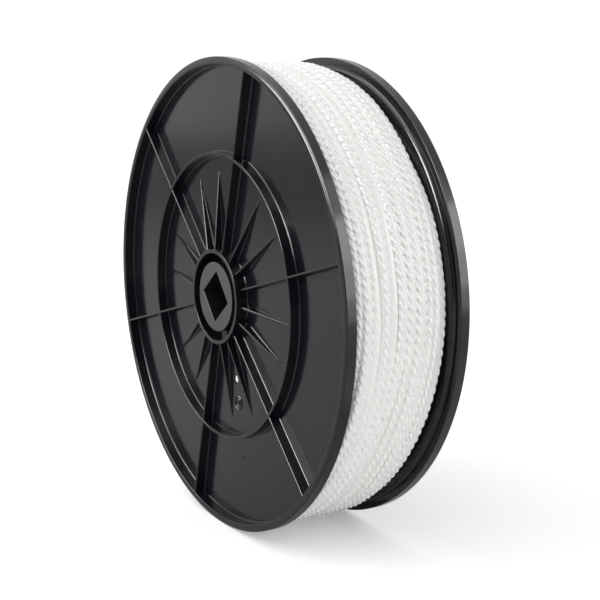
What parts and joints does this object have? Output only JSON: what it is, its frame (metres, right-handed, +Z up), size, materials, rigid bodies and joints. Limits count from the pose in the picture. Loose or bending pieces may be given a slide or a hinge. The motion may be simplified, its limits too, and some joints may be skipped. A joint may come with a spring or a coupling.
{
  "type": "cord reel",
  "caption": "Ribbed black plastic reel with square drive holes, filled with thick white braided cord.",
  "frame": {"origin": "middle of the reel's axis, half way between the two flanges", "axes": "+Y along the reel's axis to the rear flange, +Z up with the reel standing on its rims, +X to the right when facing the front flange"},
  "size_m": [0.28, 0.0826, 0.28],
  "materials": {
    "flange_plastic": "glossy moulded black plastic",
    "bush_plastic": "spark-textured dark plastic",
    "cord_braid": "white braided synthetic cord"
  },
  "bodies": {
    "root": {"front_flange": "flange_plastic", "rear_flange": "flange_plastic", "barrel": "flange_plastic", "front_drive_bush": "bush_plastic", "rear_drive_bush": "bush_plastic", "cord_core": "cord_braid", "cord_winding": "cord_braid", "cord_start": "cord_braid"}
  },
  "joints": []
}
